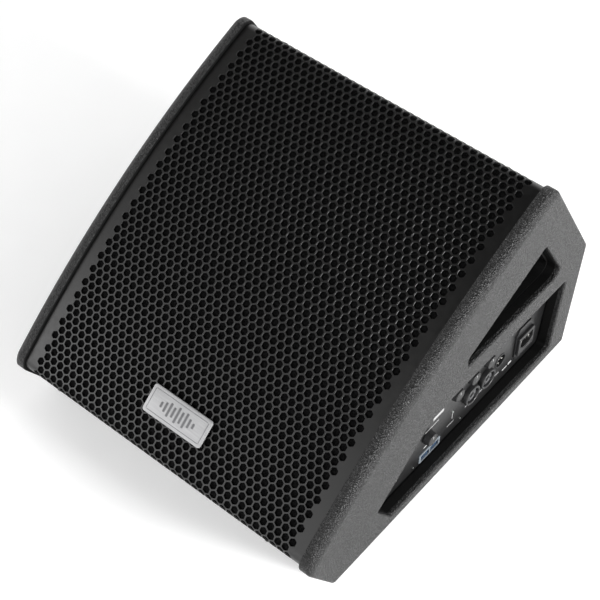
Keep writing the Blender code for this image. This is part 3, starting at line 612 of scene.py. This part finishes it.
def flare(outline, outer_x, inner_x):
    """A cutter for an opening whose outer edge is rounded over. It passes through both faces."""
    side = 1 if outer_x > 0 else -1
    beyond = 0.002
    sections = [(outer_x + side * beyond, offset(outline, OPENING_ROUND))]
    for i in range(EDGE_STEPS + 1):
        angle = math.pi / 2 * i / EDGE_STEPS
        depth = OPENING_ROUND * (1 - math.cos(angle))
        spread = OPENING_ROUND * (1 - math.sin(angle))
        sections.append((outer_x - side * depth, offset(outline, spread)))
    sections.append((outer_x - side * PAINTED_DEPTH, outline))
    sections.append((inner_x - side * beyond, outline))
    return lofted(sections)


def distance_to(outline, point):
    """How far a point is from a closed outline's corners."""
    return min((point - corner).length for corner in outline)


def edge_round(point):
    """How far the outer edge is rounded over at a point of the outline: widely along the grille,
    closely along the bottom, back and top."""
    away = abs((point - CENTRE).length - GRILLE_RADIUS - PROUD)
    blend = max(0.0, 1 - away / FRONT_BLEND)
    return ROUND + (FRONT_ROUND - ROUND) * blend * blend * (3 - 2 * blend)


def side_panel(name, side, openings):
    """A board with rounded edges, its faces painted outside and smooth near-black inside; the
    near-black also lines its openings deeper than PAINTED_DEPTH, as painted shade.
    """
    outer = side * WIDTH / 2
    reach = [edge_round(point) for point in CHEEK]
    rings = []
    for inset, depth in ((1.0, 0.0), (0.3, 0.3), (0.0, 1.0)):
        x = side * (INNER + INNER_ROUND * depth)
        rings.append([Vector((x, *p)) + SHIFT for p in offset(CHEEK, -INNER_ROUND * inset)])
    for i in range(EDGE_STEPS + 1):
        angle = math.pi / 2 * i / EDGE_STEPS
        edge = offset(CHEEK, [-r * (1 - math.cos(angle)) for r in reach])
        rings.append([Vector((outer - side * r * (1 - math.sin(angle)), *p)) + SHIFT
                      for r, p in zip(reach, edge)])
    cutters = [flare(outline, outer, side * INNER) for outline in openings]
    panel = piece(name + "_finish", carved(name + "_mesh", bridged(rings), cutters),
                  MATERIALS["texture_paint"], replaces=[name], sharp=40)
    # Inner faces and the openings' walls beyond PAINTED_DEPTH get the near-black: painted shade
    # where the openings run deep.
    panel.data.materials.append(BLACK_AND_PAINTED_SHADE)
    for face in panel.data.polygons:
        inner_face = side * face.normal.x < -0.9
        deep = side * face.center.x < WIDTH / 2 - PAINTED_DEPTH
        wall = abs(face.normal.x) < 0.2
        at = face.center.yz - SHIFT.yz
        if inner_face or (deep and wall and distance_to(CHEEK, at) > PAINTED_RIM):
            face.material_index = 1
    weighted = panel.modifiers.new("flat faces stay flat", "WEIGHTED_NORMAL")
    weighted.keep_sharp = True


side_panel("side_panel_right", 1, [HANDLE, RECESS])
side_panel("side_panel_left", -1, [HANDLE])


# ---- grille ----
def grille_path():
    """The grille's outer face in the side view, fold to fold: lengths from the middle of the arc,
    the points there and the outward directions."""
    arc_steps = 240
    bend_steps = 20
    under_bends = 8
    arc = front_arc(GRILLE_FRONT, GRILLE_TOP, GRILLE_RADIUS, arc_steps)
    points = [GRILLE_FRONT + LIP * RETURN_LENGTH]
    points += reversed(fillet(arc[1], GRILLE_FRONT, points[0], BEND, bend_steps))
    points += arc[under_bends:-under_bends]
    points += fillet(arc[-2], GRILLE_TOP, BACK_TOP, BEND, bend_steps)
    points.append(GRILLE_TOP + ROOF * RETURN_LENGTH)
    along = np.array([tuple(p) for p in points])
    lengths = np.concatenate([[0], np.cumsum(np.linalg.norm(np.diff(along, axis=0), axis=1))])
    nearest = np.argmin(np.linalg.norm(along - np.array(arc[arc_steps // 2]), axis=1))
    tangents = np.gradient(along, axis=0)
    outward = np.stack([-tangents[:, 1], tangents[:, 0]], axis=1)
    outward /= np.linalg.norm(outward, axis=1)[:, None]
    return lengths - lengths[nearest], along, outward


PATH_LENGTHS, PATH_POINTS, PATH_OUTWARD = grille_path()


def on_grille(x, length, height):
    """A point of the grille, at a length along its face and a height above it."""
    y, z = (np.interp(length, PATH_LENGTHS, PATH_POINTS[:, i]) for i in (0, 1))
    out_y, out_z = (np.interp(length, PATH_LENGTHS, PATH_OUTWARD[:, i]) for i in (0, 1))
    scale = height / math.hypot(out_y, out_z)
    return Vector((x, y + out_y * scale, z + out_z * scale)) + SHIFT


class Sheet:
    """A sheet of steel with two faces, built from flat cells in (x, length)."""

    def __init__(self):
        self.points = []
        self.index = {}
        self.faces = []

    def vertex(self, place, level):
        """The vertex at a place, level 0 being the outer face and 1 the inner one."""
        key = (round(place[0] * 1e6), round(place[1] * 1e6), level)
        if key not in self.index:
            self.index[key] = len(self.points)
            self.points.append(on_grille(place[0], place[1], -SHEET * level))
        return self.index[key]

    def cell(self, places):
        """A patch of both faces, whose corners run anticlockwise seen from outside."""
        self.faces.append([self.vertex(p, 0) for p in places])
        self.faces.append([self.vertex(p, 1) for p in reversed(places)])

    def hole(self, cell, edge, throat):
        """A hexagonal cell with a hole through it, whose outer edge is rounded over from the ring
        edge to the ring throat."""
        deep = HOLE_EDGE / SHEET
        for i in range(12):
            j = (i + 1) % 12
            self.faces.append([self.vertex(p, 0) for p in (cell[i], cell[j], edge[j], edge[i])])
            self.faces.append([self.vertex(edge[i], 0), self.vertex(edge[j], 0),
                               self.vertex(throat[j], deep), self.vertex(throat[i], deep)])
        for i in range(1, 12, 2):
            j, k = (i + 1) % 12, (i + 2) % 12
            back = [self.vertex(throat[i], 1), self.vertex(throat[k], 1)]
            self.faces.append([self.vertex(throat[k], deep), self.vertex(throat[j], deep),
                               self.vertex(throat[i], deep), *back])
            self.faces.append([*back, *(self.vertex(cell[n], 1) for n in (k, j, i))])

    def wall(self, first, second):
        """A strip of the sheet's thickness, between two places on its edge."""
        self.faces.append([self.vertex(first, 0), self.vertex(first, 1), self.vertex(second, 1),
                           self.vertex(second, 0)])


def ring(x, length, across, corner):
    """A hexagon with a point on each corner and in the middle of each side."""
    places = []
    for k in range(12):
        reach = corner if k % 2 else across / 2
        angle = math.pi / 6 * k
        places.append((x + reach * math.cos(angle), length + reach * math.sin(angle)))
    return places


def hexagon(x, length, across):
    """The ring of a hole, its corners a little blunt."""
    return ring(x, length, across, across / math.sqrt(3) * HOLE_BLUNT)


def perforated_grille():
    """The steel sheet, hole by hole, with a plain strip along its sides and its folded ends."""
    sheet = Sheet()
    corner = HOLE_PITCH / math.sqrt(3)
    edge = INNER - GRILLE_SIDE_GAP
    side_chain = []
    end_chains = []
    for row in range(FIRST_ROW, LAST_ROW + 1):
        count = HOLES_IN_ROW[row % 2]
        length = ROW_OFFSET + (row - MIDDLE_ROW) * corner * 1.5
        reach = count / 2 * HOLE_PITCH
        if side_chain:
            side_chain.append(((side_chain[-1][0] + reach) / 2, length - corner * 0.75))
        side_chain += [(reach, length + corner * part) for part in (-0.5, 0.0, 0.5)]
        for k in range(count):
            x = (k + 0.5) * HOLE_PITCH - reach
            sheet.hole(ring(x, length, HOLE_PITCH, corner),
                       hexagon(x, length, HOLE_ACROSS + 2 * HOLE_EDGE),
                       hexagon(x, length, HOLE_ACROSS))
        if row in (FIRST_ROW, LAST_ROW):
            sign = -1 if row == FIRST_ROW else 1
            chain = [(-reach, length + sign * corner / 2)]
            for k in range(count):
                x = (k + 0.5) * HOLE_PITCH - reach
                chain += [(x + HOLE_PITCH * part, length + sign * corner * rise)
                          for part, rise in ((-0.25, 0.75), (0, 1), (0.25, 0.75), (0.5, 0.5))]
            end_chains.append(chain)
    for near, far in zip(side_chain, side_chain[1:]):
        sheet.cell([near, (edge, near[1]), (edge, far[1]), far])
        sheet.cell([(-edge, near[1]), (-near[0], near[1]), (-far[0], far[1]), (-edge, far[1])])
        sheet.wall((edge, near[1]), (edge, far[1]))
        sheet.wall((-edge, far[1]), (-edge, near[1]))
    for chain, end in zip(end_chains, (PATH_LENGTHS[0], PATH_LENGTHS[-1])):
        full = [(-edge, chain[0][1]), *chain, (edge, chain[-1][1])]
        for a, b in zip(full, full[1:]):
            low_a, low_b = (a[0], end), (b[0], end)
            front = end < 0
            sheet.cell([low_a, low_b, b, a] if front else [a, b, low_b, low_a])
            sheet.wall(*((low_b, low_a) if front else (low_a, low_b)))
        for x in (-edge, edge):
            near, far = sorted((chain[0][1], end))
            sheet.wall(*(((x, near), (x, far)) if x > 0 else ((x, far), (x, near))))
    data = bpy.data.meshes.new("grille_sheet")
    data.from_pydata(sheet.points, [], sheet.faces)
    mesh = bmesh.new()
    mesh.from_mesh(data)
    bmesh.ops.recalc_face_normals(mesh, faces=mesh.faces)
    piece("grille_sheet", mesh, MATERIALS["powder_coat"],
          replaces=["grille"], sharp=30)


def foam_pad():
    """The foam behind the grille: a soft slab that swells unevenly, its rim drawn in a little."""
    low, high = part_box("grille_foam")
    columns = 90
    rows = 120
    short = 0.006
    sunk_at_rim = (0.0012, 0.0003)
    face = -SHEET - FOAM_GAP
    first = PATH_LENGTHS[0] + short
    last = PATH_LENGTHS[-1] - short
    front = []
    back = []
    for j in range(rows + 1):
        length = first + (last - first) * j / rows
        for i in range(columns + 1):
            x = low.x + (high.x - low.x) * i / columns
            swell = 0.0003 * noise.noise(Vector((x, length, 0.0)) * 260)
            rim = min(i, columns - i, j, rows - j)
            sunk = sunk_at_rim[rim] if rim < len(sunk_at_rim) else 0.0
            front.append(on_grille(x, length, face - sunk + min(swell, 0.0002)))
            back.append(on_grille(x, length, face - FOAM_THICKNESS + sunk))
    faces = []
    count = len(front)
    for j in range(rows):
        for i in range(columns):
            a = j * (columns + 1) + i
            b, c, d = a + 1, a + columns + 2, a + columns + 1
            faces += [(a, b, c, d), (count + d, count + c, count + b, count + a)]
    loop = list(range(columns + 1))
    loop += [j * (columns + 1) + columns for j in range(1, rows + 1)]
    loop += [rows * (columns + 1) + i for i in range(columns - 1, -1, -1)]
    loop += [j * (columns + 1) for j in range(rows - 1, 0, -1)]
    for a, b in zip(loop, loop[1:] + loop[:1]):
        faces.append((b, a, count + a, count + b))
    data = bpy.data.meshes.new("foam_pad")
    data.from_pydata(front + back, [], faces)
    pad = piece("foam_pad", data, MATERIALS["foam"], replaces=["grille_foam"],
                sharp=60)


perforated_grille()
foam_pad()


# ---- badge ----
def badge():
    """A silver plate on two posts, marked only with level bars and a thin line round them."""
    wide = 0.076
    high = 0.0305
    lift = 0.0025
    thickness = 0.0018
    post_reach = 0.003
    post_shift = 0.022
    sunk = 0.00002
    at = middle("badge_plate") - SHIFT
    away = (at.yz - CENTRE).normalized()
    outward = Vector((0, away.x, away.y))
    base = Vector((0, *(CENTRE + away * (GRILLE_RADIUS + lift)))) + SHIFT
    along = outward.cross(Vector((1, 0, 0)))
    turn = Matrix((Vector((1, 0, 0)), along, outward)).transposed().to_4x4()
    place = Matrix.Translation(base) @ turn
    piece("badge", plate(rectangle(wide, high, 0.003, 10), place, thickness, 0.0005),
          MATERIALS["brushed_silver"], replaces=["badge_plate"])
    for hand, x in (("left", -post_shift), ("right", post_shift)):
        post = [(0, GAP - lift), (post_reach, GAP - lift), (post_reach, 0.0002), (0, 0.0002)]
        piece("badge_post_" + hand, turned(post, place @ Matrix.Translation((x, 0, 0)), 24),
              MATERIALS["brushed_silver"])
    top = place @ Matrix.Translation((0, 0, thickness - sunk))
    levels = [0.0060, 0.0105, 0.0150, 0.0110, 0.0170, 0.0125, 0.0160, 0.0095, 0.0055]
    bar_wide = 0.0026
    bar_pitch = 0.0052
    for i, level in enumerate(levels):
        shift = Matrix.Translation(((i - (len(levels) - 1) / 2) * bar_pitch, 0, 0))
        bar = plate(rectangle(bar_wide, level, 0.0008), top @ shift, 0.0003, 0.0001)
        piece("badge_bar_{}".format(i + 1), bar, MARK_GREY)
    line = 0.0005
    margin = 0.007
    long_line = wide - 0.009
    lines = [(0, 1, long_line, line), (0, -1, long_line, line),
             (1, 0, line, high - margin), (-1, 0, line, high - margin)]
    for i, (x, y, line_wide, line_high) in enumerate(lines):
        shift = Matrix.Translation((x * (wide - margin) / 2, y * (high - margin) / 2, 0))
        strip = plate(rectangle(line_wide, line_high, 0.0002), top @ shift, 0.0002, 0.0001)
        piece("badge_line_{}".format(i + 1), strip, MARK_GREY)


badge()


# ---- control panel ----
def knob(name, body, base, top, height):
    """A ribbed knob with a grey cap and a pointer line."""
    place = on_panel(name)
    well = 0.0031
    well_top = 0.0045
    clear = 0.0006
    flank = [(0, well_top), (well, well_top), (well, clear), (base - 0.0004, clear),
             (base, 0.0010), (base, 0.0018), (top + 0.0003, height - 0.0010),
             (top, height - 0.0003), (top - 0.0005, height), (top - 0.0009, height),
             (top - 0.0011, height - 0.0004), (0, height - 0.0004)]
    piece(name + "_body", turned(flank, place, 144, flutes=24, flute_depth=0.00035, fluted=(5, 6)),
          MATERIALS["black_plastic"], body, [name], sharp=50)
    cap = [(0, height - 0.00045), (top - 0.0012, height - 0.00045),
           (top - 0.0012, height - 0.0002), (top - 0.0015, height - 0.00005), (0, height)]
    piece(name + "_cap", turned(cap, place, 72), CAP_GREY, body)
    line = place @ Matrix.Translation((-top * 0.55, 0, height - 0.00008))
    pointer = plate(rectangle(top * 0.6, 0.0008, 0.0003), line, 0.0002, 0.0001)
    piece(name + "_pointer", pointer, PRINT, body)


def near_axis(name, reach, level):
    """A test for face centres within reach of a socket's axis and beyond a height."""
    at = middle(name)
    return lambda p: math.hypot(p.y - at.y, p.z - at.z) < reach and p.x > PANEL_X + level


def combo_socket(name):
    """A raised rim round a disc painted lighter grey as painted light, with a plug hole in the
    middle and three contact holes.
    """
    place = on_panel(name)
    jack = 0.0033
    jack_floor = -0.0160
    disc = 0.0074
    disc_top = 0.0040
    barrel = 0.0104
    barrel_end = -0.0220
    profile = [(0, jack_floor), (jack, jack_floor), (jack, 0.0036), (0.0037, disc_top),
               (0.0071, disc_top), (disc, 0.0037), (disc, 0.0020), (0.0096, 0.0020),
               (0.0096, 0.0053), (0.0099, 0.0058), (0.0103, 0.0060), (0.0116, 0.0060),
               (0.0121, 0.0057), (0.0124, 0.0051), (0.0124, GAP), (barrel, GAP),
               (barrel, barrel_end), (0, barrel_end)]
    contact = [(0, -0.0020), (0.0012, -0.0020), (0.0012, 0.0060), (0, 0.0060)]
    holes = [turned(contact, about(place, math.pi + 2 * math.pi * i / 3, 0.0054), 20)
             for i in range(3)]
    piece(name + "_body", carved(name + "_mesh", turned(profile, place, 72), holes),
          MATERIALS["black_plastic"], replaces=[name], sharp=50,
          accent=SOCKET_DISC_PAINTED_LIGHT, where=near_axis(name, 0.0073, 0.0038))


def link_socket():
    """A plain rim round a deep well painted near-black as painted shade, with three pins standing
    in it.
    """
    place = on_panel("link_socket")
    well = 0.0078
    floor = -0.0140
    barrel = 0.0094
    barrel_end = -0.0200
    rim = [(0, floor), (well, floor), (well, 0.0004), (0.0082, 0.0009), (0.0090, 0.0009),
           (barrel, 0.0005), (barrel, barrel_end), (0, barrel_end)]
    # The well's inside takes the near-black as painted shade; only the rim beyond the panel's face
    # is black plastic.
    piece("link_shell", turned(rim, place, 72), BLACK_AND_PAINTED_SHADE,
          replaces=["link_socket"], sharp=50, accent=MATERIALS["black_plastic"],
          where=near_axis("link_socket", WIDTH, 0.0))
    pin = [(0, floor + 0.0001), (0.0011, floor + 0.0001), (0.0011, -0.0008), (0.0008, -0.0003),
           (0, -0.0002)]
    for i in range(3):
        turn = about(place, math.pi / 2 + 2 * math.pi * i / 3, 0.0039)
        piece("link_pin_{}".format(i + 1), turned(pin, turn, 20), MATERIALS["plated_metal"],
              replaces=["link_socket_pins"] if i == 0 else ())


def inlet_contacts():
    """The three flat pins of the mains inlet, standing on its dark floor."""
    at = middle("mains_inlet")
    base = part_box("inlet_pins")[0].x
    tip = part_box("inlet_pins")[1].x
    turn = Matrix.Rotation(math.pi / 2, 4, "Y")
    for i, (y, z) in enumerate(((-0.007, 0.0015), (0.007, 0.0015), (0.0, 0.0055))):
        place = Matrix.Translation((base, at.y + y, at.z + z)) @ turn
        blade = plate(rectangle(0.0040, 0.0020, 0.0005), place, tip - base, 0.0004)
        piece("inlet_pin_{}".format(i + 1), blade, MATERIALS["plated_metal"],
              replaces=["inlet_pins"] if i == 0 else ())


def on_plate(y, z, lift):
    """The matrix of a plate lying on the control panel, its local x along Y and its local y up."""
    turn = Matrix(((0, 0, 1), (1, 0, 0), (0, 1, 0))).to_4x4()
    return Matrix.Translation((PANEL_X + lift, y, z)) @ turn


def display():
    """A white frame with two lit windows side by side."""
    low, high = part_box("display_frame")
    at = (low + high) / 2
    pane_wide = 0.0142
    pane_tall = 0.0092
    pane_shift = 0.0079
    place = on_plate(at.y, at.z, GAP)
    outline = rectangle(high.y - low.y, high.z - low.z, 0.0012)
    corner = Vector((pane_wide, pane_tall, 0)) / 2
    below = Vector((0, 0, -0.002))
    above = Vector((0, 0, 0.005))
    holes = []
    for side in (-1, 1):
        shift = Vector((side * pane_shift, 0, 0))
        holes.append(boxed(shift - corner + below, shift + corner + above, place))
    piece("display_bezel", carved("bezel_mesh", plate(outline, place, 0.0013, 0.0004), holes),
          MATERIALS["white_plastic"], replaces=["display_frame"], sharp=30)
    window = on_plate(at.y, at.z, -0.0004)
    piece("display_pane", plate(rectangle(0.0316, 0.0096, 0.0006), window, 0.0010, 0.0001),
          MATERIALS["display_glass"], replaces=["display_window"])
    bar_wide = 0.0013
    bar_pitch = 0.0023
    bar_foot = -0.0024
    for side, hand in ((-1, "left"), (1, "right")):
        for i in range(4):
            level = 0.0014 + 0.0010 * i
            shift = Matrix.Translation((side * pane_shift + (i - 1.5) * bar_pitch,
                                        bar_foot + level / 2, 0.0009))
            bar = plate(rectangle(bar_wide, level, 0.0002), window @ shift, 0.0002, 0.00005)
            piece("display_level_{}_{}".format(hand, i + 1), bar, LIT_BLUE)


def lamp(name, glow):
    """A small domed lens on a stem through the panel."""
    radius = 0.0013
    stem = -0.006
    shoulder = 0.0004
    rise = 0.0012
    dome = [(0, stem), (radius, stem), (radius, shoulder)]
    for i in range(1, 6):
        angle = math.pi / 2 * i / 6
        dome.append((radius * math.cos(angle), shoulder + rise * math.sin(angle)))
    dome.append((0, shoulder + rise))
    piece(name + "_lens", turned(dome, on_panel(name), 32), glow, replaces=[name])


def marks():
    """Plain bars in place of labels on the panel. Each has a middle, a width and a height."""
    bars = [(0.184, 0.0710, 0.0180, 0.0046), (0.174, 0.0612, 0.0235, 0.0011),
            (0.1655, 0.0355, 0.0065, 0.0018), (0.209, 0.0295, 0.0120, 0.0008),
            (0.211, 0.0405, 0.0008, 0.0090), (0.238, 0.0312, 0.0070, 0.0012),
            (0.2635, 0.0312, 0.0075, 0.0012), (0.2895, 0.0312, 0.0120, 0.0012),
            (0.3065, 0.0265, 0.0090, 0.0020), (0.3162, 0.0272, 0.0065, 0.0035)]
    for i in range(5):
        bars.append((0.105 + 0.004 * (i % 2), 0.0275 + 0.0024 * i, 0.026 - 0.004 * (i % 3), 0.0007))
    for i, (y, z, wide, high) in enumerate(bars):
        place = on_plate(y + SHIFT.y, z + SHIFT.z, -0.00002)
        outline = rectangle(wide, high, min(wide, high) * 0.3)
        piece("panel_mark_{}".format(i + 1), plate(outline, place, 0.00014, 0.00004), PRINT)


def feet():
    """Rubber feet with a screw well and a moulded ring."""
    sole = -FOOT_HEIGHT
    groove = sole + 0.0004
    well = 0.0060
    well_floor = -0.0025
    profile = [(0, well_floor), (well, well_floor), (well, sole + 0.0006), (well + 0.0006, sole),
               (0.0120, sole), (0.0124, groove), (0.0130, groove), (0.0134, sole), (0.0155, sole),
               (0.0168, groove), (0.0174, sole + 0.0014), (FOOT_RADIUS, -0.0010),
               (FOOT_RADIUS, -GAP), (0, -GAP)]
    for end in ("front", "back"):
        for hand in ("left", "right"):
            name = "foot_{}_{}".format(end, hand)
            at = middle(name)
            place = Matrix.Translation((at.x, at.y, FOOT_HEIGHT))
            piece(name + "_rubber", turned(profile, place, 64), MATERIALS["black_rubber"],
                  replaces=[name], sharp=30)


def soften(width, *names):
    """Round the edges of CAD pieces that stay in view."""
    for name in names:
        bevel = frame["nodes"][name].modifiers.new("worn edges", "BEVEL")
        bevel.width = width
        bevel.segments = 3
        bevel.limit_method = "ANGLE"
        bevel.harden_normals = True


for number in (1, 2, 3):
    knob("volume_knob_{}".format(number), "volume_{}".format(number), KNOB_BASE, KNOB_TOP, 0.0072)
knob("encoder_knob", "encoder_cap", KNOB_BASE, KNOB_TOP, 0.0080)
combo_socket("combo_socket_1")
combo_socket("combo_socket_2")
link_socket()
inlet_contacts()
display()
lamp("signal_led", SIGNAL_GLOW)
lamp("limit_led", MATERIALS["led_lens"])
lamp("power_led", MATERIALS["led_lens"])
marks()
feet()
soften(0.0004, "mains_inlet", "switch_frame", "power_rocker", "fuse_drawer", "ground_lift_button")
soften(0.0010, "front_panel", "bottom_panel", "back_panel", "top_panel")


# ---- camera, lights and floor ----
def camera():
    """The camera, in front of the cabinet's right-hand corner, high up and turned on its axis."""
    data = bpy.data.cameras.new("camera")
    data.lens = 97.0
    data.sensor_width = 36.0
    item = bpy.data.objects.new("camera", data)
    bpy.context.scene.collection.objects.link(item)
    item.location = (0.6840, -0.8385, 1.3987)
    right = Vector((0.7691, 0.6391, 0.0074))
    up = Vector((-0.4918, 0.5845, 0.6454))
    item.rotation_mode = "QUATERNION"
    item.rotation_quaternion = Matrix((right, up, right.cross(up))).transposed().to_quaternion()
    bpy.context.scene.camera = item


def softbox(name, place, aim, width, height, power):
    """A rectangular lamp that points from a place at another."""
    data = bpy.data.lights.new(name, "AREA")
    data.shape = "RECTANGLE"
    data.size = width
    data.size_y = height
    data.energy = power
    item = bpy.data.objects.new(name, data)
    bpy.context.scene.collection.objects.link(item)
    item.location = place
    item.rotation_mode = "QUATERNION"
    item.rotation_quaternion = (Vector(aim) - Vector(place)).to_track_quat("-Z", "Y")


def horizon_light():
    """A world that is bright round the horizon and dark overhead."""
    world = bpy.data.worlds.new("studio")
    world.use_nodes = True
    tree = world.node_tree
    source = add_node(tree, "TexCoord")
    split = add_node(tree, "SeparateXYZ")
    tree.links.new(source.outputs["Generated"], split.inputs["Vector"])
    fade = {"From Min": 0.36, "From Max": 0.92, "To Min": 1.9, "To Max": 0.02}
    level = add_node(tree, "MapRange", fade, interpolation_type="SMOOTHSTEP")
    tree.links.new(split.outputs["Z"], level.inputs["Value"])
    background = tree.nodes["Background"]
    background.inputs["Color"].default_value = (1.0, 1.0, 1.0, 1.0)
    tree.links.new(level.outputs["Result"], background.inputs["Strength"])
    bpy.context.scene.world = world


def studio():
    """The lights and a sheet of white paper as the floor."""
    horizon_light()
    softbox("right", (2.4, 0.05, 0.75), (0.2, 0.05, 0.15), 0.5, 0.5, 95)
    softbox("front_left", (-1.7, -1.6, 0.9), (0, -0.1, 0.15), 1.2, 0.9, 9)
    mesh = bmesh.new()
    bmesh.ops.create_grid(mesh, x_segments=8, y_segments=8, size=6.0)
    data = bpy.data.meshes.new("floor")
    mesh.to_mesh(data)
    mesh.free()
    floor = bpy.data.objects.new("floor", data)
    bpy.context.scene.collection.objects.link(floor)
    floor.location.z = -0.0002
    paper = grained("floor_paper", grey(0.84), grey(0.86), (0.8, 0.9), 30.0, 0.0)
    shader = paper.node_tree.nodes["Principled BSDF"]
    shader.inputs["Emission Color"].default_value = (1.0, 1.0, 1.0, 1.0)
    shader.inputs["Emission Strength"].default_value = 0.28
    data.materials.append(paper)
    bpy.context.scene.view_settings.view_transform = "Standard"


camera()
studio()
